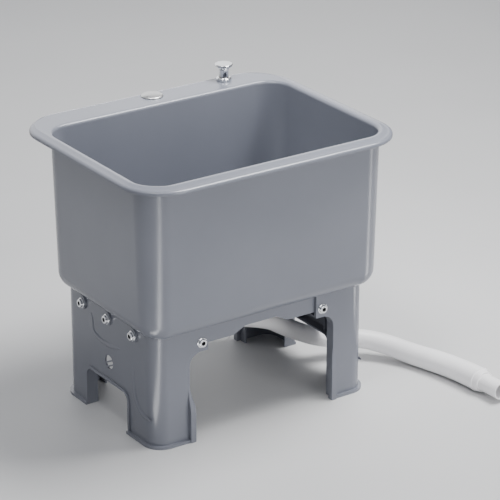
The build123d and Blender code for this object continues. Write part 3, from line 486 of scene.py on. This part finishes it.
stand_in_for(tub, "tub_shell", tub_plastic, "tub_plastic", "sink", "tub")


# ---------------------------------------------------------------- end frames
# Each end frame is one grey moulding that wraps two corners of the stand: a side panel with
# a beaded arch, two legs with turned-in edges and foot lips, and a flange for each rail.
def round_edges(piece, pick, radius, steps):
    """Round the picked edges of a box, chosen by their two ends."""
    only(piece)
    bpy.context.tool_settings.mesh_select_mode = (False, True, False)
    bpy.ops.object.mode_set(mode="EDIT")
    bpy.ops.mesh.select_all(action="DESELECT")
    bpy.ops.object.mode_set(mode="OBJECT")
    for edge in piece.data.edges:
        first, second = (piece.data.vertices[index].co for index in edge.vertices)
        edge.select = pick(first, second)
    bpy.ops.object.mode_set(mode="EDIT")
    bpy.ops.mesh.bevel(offset=radius, segments=steps, affect="EDGES", clamp_overlap=False)
    bpy.ops.object.mode_set(mode="OBJECT")


touching = 1e-5
stand_front, stand_rear, stand_top = -0.1495, 0.1275, 0.192
stand_outline, stand_wall, stand_corner = (0.412, 0.277), 0.003, 0.028
side_face, leg_edge, flange_end = -0.206, -0.140, -0.105
arch_top, arch_front, arch_rear, arch_corner = 0.069, -0.0685, 0.0575, 0.014
arch_return_end, bead_outer, bead_inner, bead_width = -0.1875, -0.2085, -0.2045, 0.005
window_top, window_corner = 0.153, 0.022
foot_lip, foot_lip_height = 0.0054, 0.005
flange_start, flange_foot, flange_wall, leg_return_depth = -0.143, 0.131, 0.0055, 0.0185
rail_screw_x, rail_screw_z = 0.117, 0.168
screw_bore, screw_seat_radius, screw_seat_rise = 0.0028, 0.0108, 0.0028
stiffener_foot, stiffener_top, half_stiffener = 0.0705, 0.158, 0.0015


def arch_block(x_low, x_high, grow, z_low):
    """The arch's opening as a solid, rounded at its two top corners, grown by an amount."""
    top = arch_top + grow
    piece = block((x_low, arch_front - grow, z_low), (x_high, arch_rear + grow, top))

    def along_top(a, b):
        return min(a.z, b.z) > top - touching and abs(a.x - b.x) > touching

    round_edges(piece, along_top, arch_corner + grow, 8)
    return piece


def window_block(y_low, y_high, grow, z_low):
    """The opening between the legs as a solid, rounded where the leg meets the flange."""
    top = window_top + grow
    left = leg_edge - grow
    piece = block((left, y_low, z_low), (-0.06, y_high, top))

    def upper_left(a, b):
        return min(a.z, b.z) > top - touching and max(a.x, b.x) < left + touching

    round_edges(piece, upper_left, window_corner + grow, 10)
    return piece


def plan_wall(grow, z_low, z_high, x_end):
    """A stretch of the stand's wall in plan, grown outwards, cut off square at x_end."""
    length, depth = stand_outline
    outer = (length + 2 * grow, depth + 2 * grow, stand_corner + grow)
    inner = (length - 2 * stand_wall, depth - 2 * stand_wall, stand_corner - stand_wall)
    piece = bridged([rounded_ring(*outline, stand_mid, height)
                     for outline, height in ((outer, z_low), (outer, z_high),
                                             (inner, z_high), (inner, z_low))])
    boolean(piece, block((x_end, -0.3, -0.1), (0.4, 0.3, 0.3)), "DIFFERENCE")
    return piece


def foot_rib(face, out):
    """The rib on a leg's inner edge: proud and broad at the foot, fading out upwards."""
    levels = (0.0, 0.030, 0.052, 0.060, 0.067, 0.074, 0.081, 0.087, 0.092)
    rib_top, rib_proud, rib_side = levels[-1], 0.0075, 0.0065
    bpy.ops.object.select_all(action="DESELECT")
    bpy.ops.mesh.primitive_plane_add(size=1, location=(0, 0, 0))
    rib = bpy.context.object
    bpy.ops.object.mode_set(mode="EDIT")
    bpy.ops.mesh.select_all(action="SELECT")
    for low, high in zip(levels, levels[1:]):
        bpy.ops.mesh.extrude_region_move(TRANSFORM_OT_translate={"value": (0, 0, high - low)})
    bpy.ops.object.mode_set(mode="OBJECT")
    for vertex in rib.data.vertices:
        fade = min(1, max(0, (rib_top - vertex.co.z) / 0.040))
        proud = rib_proud * (3 * fade ** 2 - 2 * fade ** 3)
        side = min(rib_side, rib_side * (rib_top - vertex.co.z) / 0.032)
        vertex.co.x = leg_edge + side if vertex.co.x > 0 else leg_edge - 0.0030
        vertex.co.y = face + out * proud if vertex.co.y * out > 0 else face - out * 0.0028
    face_outwards(rib)
    return rib


def ridge(points):
    """A soft raised line on the side panel, along a smooth curve of (y, z) points."""
    half_width, flatness, end_share = 0.0046, 0.40, 0.3
    line = bpy.data.curves.new("ridge_line", "CURVE")
    line.dimensions = "3D"
    spline = line.splines.new("NURBS")
    spline.points.add(len(points) - 1)
    for point, (y, z) in zip(spline.points, points):
        point.co = (0, y, z, 1)
    spline.points[0].radius = spline.points[-1].radius = end_share
    spline.order_u = 3
    spline.use_endpoint_u = True
    spline.resolution_u = 8
    line.bevel_depth = half_width
    line.bevel_resolution = 3
    line.use_fill_caps = True
    piece = bpy.data.objects.new("ridge", line)
    bpy.context.collection.objects.link(piece)
    only(piece)
    bpy.ops.object.convert(target="MESH")
    piece = bpy.context.object
    piece.scale = (flatness, 1, 1)
    piece.location = (side_face, 0, 0)
    settle()
    bpy.ops.object.mode_set(mode="EDIT")
    bpy.ops.mesh.select_all(action="SELECT")
    bpy.ops.mesh.remove_doubles(threshold=1e-6)
    bpy.ops.object.mode_set(mode="OBJECT")
    face_outwards(piece)
    return piece


def soften(piece, width, steps=2, limit=40):
    """Round off every sharp edge of a finished shape and shade it."""
    only(piece)
    bpy.ops.object.mode_set(mode="EDIT")
    bpy.ops.mesh.select_all(action="SELECT")
    bpy.ops.mesh.remove_doubles(threshold=5e-6)
    bpy.ops.mesh.dissolve_limited(angle_limit=math.radians(1))
    bpy.ops.object.mode_set(mode="OBJECT")
    edges = piece.modifiers.new("edges", "BEVEL")
    edges.width = width
    edges.segments = steps
    edges.limit_method = "ANGLE"
    edges.angle_limit = math.radians(limit)
    bpy.ops.object.modifier_apply(modifier=edges.name)
    shade(piece, limit)


stand_plastic = moulded_plastic("stand_plastic", (0.170, 0.180, 0.213), (0.186, 0.196, 0.232),
                                0.24, 1400, 0.0001, coat=0.2)
left_frame = plan_wall(0, 0, stand_top, flange_end)
boolean(left_frame, plan_wall(foot_lip, 0, foot_lip_height, leg_edge), "UNION")
for face, inwards in ((stand_front, 1), (stand_rear, -1)):
    flange = block((flange_start, face, flange_foot),
                   (flange_end, face + inwards * flange_wall, stand_top))
    boolean(left_frame, flange, "UNION")
    ys = sorted((face, face + inwards * leg_return_depth))
    leg_return = window_block(*ys, stand_wall, 0)
    boolean(leg_return, block((flange_end, -0.3, -0.1), (0.1, 0.3, 0.3)), "DIFFERENCE")
    boolean(left_frame, leg_return, "UNION")
boolean(left_frame, window_block(-0.3, 0.3, 0, -0.01), "DIFFERENCE")
boolean(left_frame, arch_block(side_face, arch_return_end, stand_wall, 0), "UNION")
boolean(left_frame, arch_block(bead_outer, bead_inner, bead_width, 0), "UNION")
boolean(left_frame, arch_block(-0.230, -0.150, 0, -0.01), "DIFFERENCE")
for face, out in ((stand_front, -1), (stand_rear, 1)):
    boolean(left_frame, foot_rib(face, out), "UNION")
for screw_y in side_screw_ys:
    pad = rod(screw_seat_radius, 0.005, (-0.2065, screw_y, side_screw_z), (1, 0, 0), 48)
    for vertex in pad.data.vertices:
        vertex.co.z += screw_seat_rise if vertex.co.z > side_screw_z else 0
    boolean(left_frame, pad, "UNION")
    bore = rod(screw_bore, 0.03, (side_face, screw_y, side_screw_z), (1, 0, 0), 20)
    boolean(left_frame, bore, "DIFFERENCE")
bore = rod(screw_bore, 0.4, (-rail_screw_x, 0, rail_screw_z), (0, 1, 0), 20)
boolean(left_frame, bore, "DIFFERENCE")

# The vent is a round hole whose two slanting bars are left standing.
vent_y, vent_z, vent_radius, vent_slant, half_bar = -0.0108, 0.103, 0.012, -28, 0.0013
vent = rod(vent_radius, 0.02, (-0.2045, vent_y, vent_z), (1, 0, 0), 48)
for shift in (0.0011, -0.0061):
    bar = block((-0.22, -0.033, -half_bar), (-0.19, 0.033, half_bar))
    bar.matrix_world = (Matrix.Translation((0, vent_y, vent_z))
                        @ Matrix.Rotation(math.radians(vent_slant), 4, "X")
                        @ Matrix.Translation((0, 0, shift)))
    only(bar)
    settle()
    boolean(vent, bar, "DIFFERENCE")
boolean(left_frame, vent, "DIFFERENCE")
for stiffener_y in (-0.050, 0.028):
    stiffener = block((-0.205, stiffener_y - half_stiffener, stiffener_foot),
                      (-0.193, stiffener_y + half_stiffener, stiffener_top))
    boolean(left_frame, stiffener, "UNION")
soften(left_frame, 0.0007)
for points in (((0.041, 0.171), (0.0395, 0.157), (0.037, 0.139), (0.012, 0.133),
                (-0.018, 0.1335), (-0.0465, 0.140)),
               ((-0.084, 0.122), (-0.0855, 0.100), (-0.0885, 0.073), (-0.106, 0.051),
                (-0.124, 0.0495), (-0.138, 0.049))):
    boolean(left_frame, ridge(points), "UNION")
shade(left_frame, 40)
only(left_frame)
bpy.ops.object.duplicate()
right_frame = bpy.context.object
right_frame.scale = (-1, 1, 1)
settle()
face_outwards(right_frame)
shade(right_frame, 40)
stand_in_for(left_frame, "left_end_panel", stand_plastic, "stand_plastic", "sink",
             "left_end_frame")
stand_in_for(right_frame, "right_end_panel", stand_plastic, "stand_plastic", "sink",
             "right_end_frame")


# ---------------------------------------------------------------- rails
# Two grey moulded cross rails are bolted behind the flanges: an upright face with a
# shallow notch in its lower edge, and a shelf along the top that carries the tub.
rail_half, rail_foot, shelf_foot = 0.132, 0.1625, 0.189
rail_wall, shelf_reach, half_gusset, gusset_foot = 0.003, 0.020, 0.0015, 0.1792
notch_top, notch_low, notch_top_half, notch_low_half = 0.1735, 0.1525, 0.030, 0.072


def cross_rail(face, inwards):
    """One rail with its face at a depth and its shelf and gussets reaching inwards."""
    rail = block((-rail_half, face, rail_foot),
                 (rail_half, face + inwards * rail_wall, stand_top))
    shelf = block((-rail_half, face, shelf_foot),
                  (rail_half, face + inwards * shelf_reach, stand_top))
    boolean(rail, shelf, "UNION")
    for gusset_x in (-0.072, 0, 0.072):
        gusset = block((gusset_x - half_gusset, face + inwards * 0.002, gusset_foot),
                       (gusset_x + half_gusset, face + inwards * 0.0195, 0.190))
        boolean(rail, gusset, "UNION")
    notch = block((-notch_top_half, face - 0.05, notch_low),
                  (notch_top_half, face + 0.05, notch_top))
    for vertex in notch.data.vertices:
        if vertex.co.z < rail_foot:
            vertex.co.x = math.copysign(notch_low_half, vertex.co.x)
    boolean(rail, notch, "DIFFERENCE")
    for screw_x in (-rail_screw_x, rail_screw_x):
        bore = rod(screw_bore, 0.02, (screw_x, face, rail_screw_z), (0, 1, 0), 20)
        boolean(rail, bore, "DIFFERENCE")
    soften(rail, 0.0006)
    return rail


stand_in_for(cross_rail(-0.144, 1), "front_cross_rail", stand_plastic, "stand_plastic", "sink",
             "front_rail")
stand_in_for(cross_rail(0.122, -1), "rear_cross_rail", stand_plastic, "stand_plastic", "sink",
             "rear_rail")


# ---------------------------------------------------------------- screws and nuts
# Chrome-plated socket-head screws with round collars hold the stand together.  The side
# ones go into the tub's bosses, the rail ones through the rails into plain zinc nuts.
def turned(outline, place=(0, 0, 0), rounding=0.0, steps=56):
    """Spin a closed outline of (radius, height) about an upright axis, its corners eased."""
    bpy.ops.object.select_all(action="DESELECT")
    bpy.ops.mesh.primitive_circle_add(vertices=len(outline), radius=0.01)
    piece = bpy.context.object
    for vertex, (radius, height) in zip(piece.data.vertices, outline):
        vertex.co = (radius, 0, height)
    bpy.ops.object.mode_set(mode="EDIT")
    if rounding:
        bpy.ops.mesh.select_all(action="DESELECT")
        bpy.ops.object.mode_set(mode="OBJECT")
        bpy.context.tool_settings.mesh_select_mode = (True, False, False)
        for vertex in piece.data.vertices:
            vertex.select = vertex.co.x > 1e-6
        bpy.ops.object.mode_set(mode="EDIT")
        bpy.ops.mesh.bevel(offset=rounding, segments=3, affect="VERTICES", clamp_overlap=True)
    bpy.ops.mesh.select_all(action="SELECT")
    bpy.ops.mesh.spin(steps=steps, angle=2 * math.pi, center=(0, 0, 0), axis=(0, 0, 1))
    bpy.ops.mesh.select_all(action="SELECT")
    bpy.ops.mesh.remove_doubles(threshold=2e-6)
    bpy.ops.object.mode_set(mode="OBJECT")
    face_outwards(piece)
    piece.location = place
    settle()
    return piece


def plated_metal(name, colour, roughness):
    """A plated or bare metal with faint uneven polish."""
    mat = bpy.data.materials.new(name)
    mat.use_nodes = True
    nodes, links = mat.node_tree.nodes, mat.node_tree.links
    shader = nodes["Principled BSDF"]
    coords = nodes.new("ShaderNodeTexCoord")
    wear = nodes.new("ShaderNodeTexNoise")
    wear.inputs["Scale"].default_value = 60.0
    shine = nodes.new("ShaderNodeMapRange")
    shine.inputs["To Min"].default_value = roughness * 0.7
    shine.inputs["To Max"].default_value = roughness * 1.5
    links.new(coords.outputs["Object"], wear.inputs["Vector"])
    links.new(wear.outputs["Fac"], shine.inputs["Value"])
    links.new(shine.outputs["Result"], shader.inputs["Roughness"])
    shader.inputs["Base Color"].default_value = (*colour, 1)
    shader.inputs["Metallic"].default_value = 1.0
    return mat


chrome = plated_metal("polished_chrome", (0.78, 0.79, 0.81), 0.06)
# A near-black metal for the sockets' inner faces: painted shade standing in for the dark of the
# recess.
painted_socket_shade = plated_metal("painted_socket_shade", (0.05, 0.05, 0.055), 0.3)
zinc = plated_metal("zinc_plate", (0.55, 0.56, 0.58), 0.35)
thread_radius, collar_radius, head_radius, head_height = 0.0025, 0.0088, 0.0070, 0.0054
hex_radius, hex_depth = 0.0040, 0.0032


def socket_screw(shank):
    """One screw, its collar seated on the level, its head upwards, the inside of its socket
    painted near-black as shade.
    """
    screw = turned([(0, -shank), (thread_radius - 0.0004, -shank),
                    (thread_radius, -shank + 0.0005), (thread_radius, 0), (collar_radius, 0),
                    (collar_radius, 0.0010), (0.0080, 0.0016), (head_radius, 0.0017),
                    (head_radius, 0.0044), (0.0062, head_height), (0, head_height)],
                   rounding=0.0003)
    socket = rod(hex_radius, 2 * hex_depth, (0, 0, head_height), (0, 0, 1), 6)
    boolean(screw, socket, "DIFFERENCE")
    screw.data.materials.clear()
    screw.data.materials.append(chrome)
    screw.data.materials.append(painted_socket_shade)
    # Faces inside the hex socket take the painted shade; the rest of the screw is chrome.
    for face in screw.data.polygons:
        reach = math.hypot(face.center.x, face.center.y)
        inside = head_height - hex_depth - 0.0001 < face.center.z < head_height - 0.0001
        face.material_index = int(inside and reach < hex_radius + 0.0002)
    return screw


def copied(pattern, places, towards):
    """Copies of a small part, each turned to face out and set on its seat, as one piece."""
    copies = []
    for place in places:
        item = bpy.data.objects.new(pattern.name, pattern.data.copy())
        bpy.context.collection.objects.link(item)
        item.matrix_world = facing(place, towards)
        copies.append(item)
    only(copies[0])
    for item in copies:
        item.select_set(True)
    bpy.ops.object.join()
    settle()
    piece = bpy.context.object
    shade(piece, 35)
    return piece


side_shank, rail_shank, side_seat_x = 0.019, 0.0155, 0.209
side_screw, rail_screw = socket_screw(side_shank), socket_screw(rail_shank)
for side, name in ((-1, "left_side_screws"), (1, "right_side_screws")):
    row = copied(side_screw, [(side * side_seat_x, y, side_screw_z) for y in side_screw_ys],
                 (side, 0, 0))
    stand_in_for(row, name + "_chrome", chrome, "chrome_plate", "sink", name)
rail_screw_xs = (-rail_screw_x, rail_screw_x)
for face, out, name in ((stand_front, -1, "front_rail_screws"),
                        (stand_rear, 1, "rear_rail_screws")):
    row = copied(rail_screw, [(x, face, rail_screw_z) for x in rail_screw_xs], (0, out, 0))
    stand_in_for(row, name + "_chrome", chrome, "chrome_plate", "sink", name)
nut_radius, nut_height = 0.0049, 0.0045
nut = rod(nut_radius, nut_height, (0, 0, nut_height / 2), (0, 0, 1), 6)
boolean(nut, rod(thread_radius, 0.02, (0, 0, 0), (0, 0, 1), 24), "DIFFERENCE")
eased = turned([(0, -0.001), (0.0044, -0.001), (0.0056, 0.0008), (0.0056, 0.0037),
                (0.0044, 0.0055), (0, 0.0055)], steps=36)
boolean(nut, eased, "INTERSECT")
nut_rows = [copied(nut, [(x, y, rail_screw_z) for x in rail_screw_xs], (0, out, 0))
            for y, out in ((-0.141, 1), (0.119, -1))]
only(nut_rows[0])
nut_rows[1].select_set(True)
bpy.ops.object.join()
stand_in_for(bpy.context.object, "rail_nuts_zinc", zinc, "zinc_steel", "sink", "rail_nuts")
for pattern in (side_screw, rail_screw, nut):
    bpy.data.objects.remove(pattern)


# ---------------------------------------------------------------- tap-hole cap
# A pressed satin-metal cover, 37 mm across and gently domed, on a split plastic collar that
# snaps under the deck.
satin = plated_metal("satin_metal", (0.66, 0.66, 0.65), 0.3)
cap_radius, cap_rise = 0.0186, 0.0038
collar_outer, collar_inner, collar_foot = 0.0151, 0.0133, -0.0084
dome = [(cap_radius * math.sin(math.radians(a)), 0.0008 + cap_rise * math.cos(math.radians(a)))
        for a in range(0, 91, 9)]
cap = turned(dome + [(cap_radius, 0.0003), (0.0183, 0.00002), (collar_outer, 0.00002),
                     (collar_outer, -0.0043), (0.0164, -0.0043), (collar_outer, collar_foot),
                     (collar_inner, collar_foot), (collar_inner, 0.0020), (0, 0.0030)],
             cap_place)
slot_long, slot_wide, slot_foot, slot_top = 0.03, 0.009, 0.440, 0.46001
cap_x, cap_y = cap_place[:2]
for reach_x, reach_y in ((slot_wide, slot_long), (slot_long, slot_wide)):
    slot = block((cap_x - reach_x, cap_y - reach_y, slot_foot),
                 (cap_x + reach_x, cap_y + reach_y, slot_top))
    boolean(cap, slot, "DIFFERENCE")
shade(cap, 35)
stand_in_for(cap, "tap_hole_cover", satin, "satin_metal", "sink", "tap_hole_cap")


# ---------------------------------------------------------------- pull knob
# A turned, chrome-plated spool that is pulled up to open the waste.  It slides on a plated
# bush whose lock nut, under the deck, clamps the chrome base ring on top.
knob = turned([(0, -0.023), (0.0045, -0.023), (0.0045, 0.0143), (0.0078, 0.0143),
               (0.0078, 0.0060), (0.0088, 0.0060), (0.0084, 0.0085), (0.0082, 0.0120),
               (0.0083, 0.0155), (0.0089, 0.0185), (0.0105, 0.0212), (0.0128, 0.0232),
               (0.0146, 0.0246), (0.0154, 0.0260), (0.0154, 0.0274), (0.0149, 0.0284),
               (0.0139, 0.0288), (0.0070, 0.0290), (0, 0.0290)], knob_place,
              rounding=0.0004)
shade(knob, 50)
stand_in_for(knob, "pull_knob_spool", chrome, "chrome_plate", "knob", "lift_knob")
base_ring = turned([(0.0076, 0.00002), (0.0130, 0.00002), (0.0132, 0.0006), (0.0132, 0.0032),
                    (0.0126, 0.0042), (0.0114, 0.0050), (0.0098, 0.0055), (0.0088, 0.0055),
                    (0.0088, 0.0040), (0.0076, 0.0040)], knob_place, rounding=0.0003)
shade(base_ring, 50)
stand_in_for(base_ring, "knob_base_chrome", chrome, "chrome_plate", "sink", "knob_base_ring")
brass = plated_metal("plated_brass", (0.62, 0.56, 0.42), 0.3)
black_rubber = moulded_plastic("black_rubber", (0.012, 0.012, 0.013), (0.02, 0.02, 0.021),
                               0.6, 1200, 0.0002)
dress(brass, "knob_guide_bush", "knob_lock_nut")
dress(black_rubber, "knob_washer")


# ---------------------------------------------------------------- pull cable
# A black-sheathed steel wire runs from the knob down behind the tub to the bell crank and
# is held to the tub by two moulded clips.
dress(black_rubber, "cable_sheath")
dress(satin, "pull_wire", "crank_wire")
dress(stand_plastic, "cable_clips")


# ---------------------------------------------------------------- waste
# A satin-metal flange and chrome stopper in the tub's floor, clamped from below by a white
# nut, over a white drain body with a bell crank on a pin.
white_plastic = moulded_plastic("white_plastic", (0.66, 0.66, 0.66), (0.74, 0.74, 0.74),
                                0.4, 900, 0.0002)
dark_plastic = moulded_plastic("dark_plastic", (0.05, 0.05, 0.055), (0.07, 0.07, 0.075),
                               0.45, 900, 0.0002)
dress(black_rubber, "drain_gasket", "stopper_seal", "drain_washer")
dress(satin, "drain_flange")
dress(chrome, "drain_stopper")
dress(white_plastic, "drain_body", "drain_lock_nut")
dress(dark_plastic, "lift_crank")
dress(zinc, "crank_pin")


# ---------------------------------------------------------------- slip nut
# A white slip nut with twelve finger ribs presses a rubber ring against the hose's end.
dress(white_plastic, "hose_nut")
dress(black_rubber, "hose_seal")
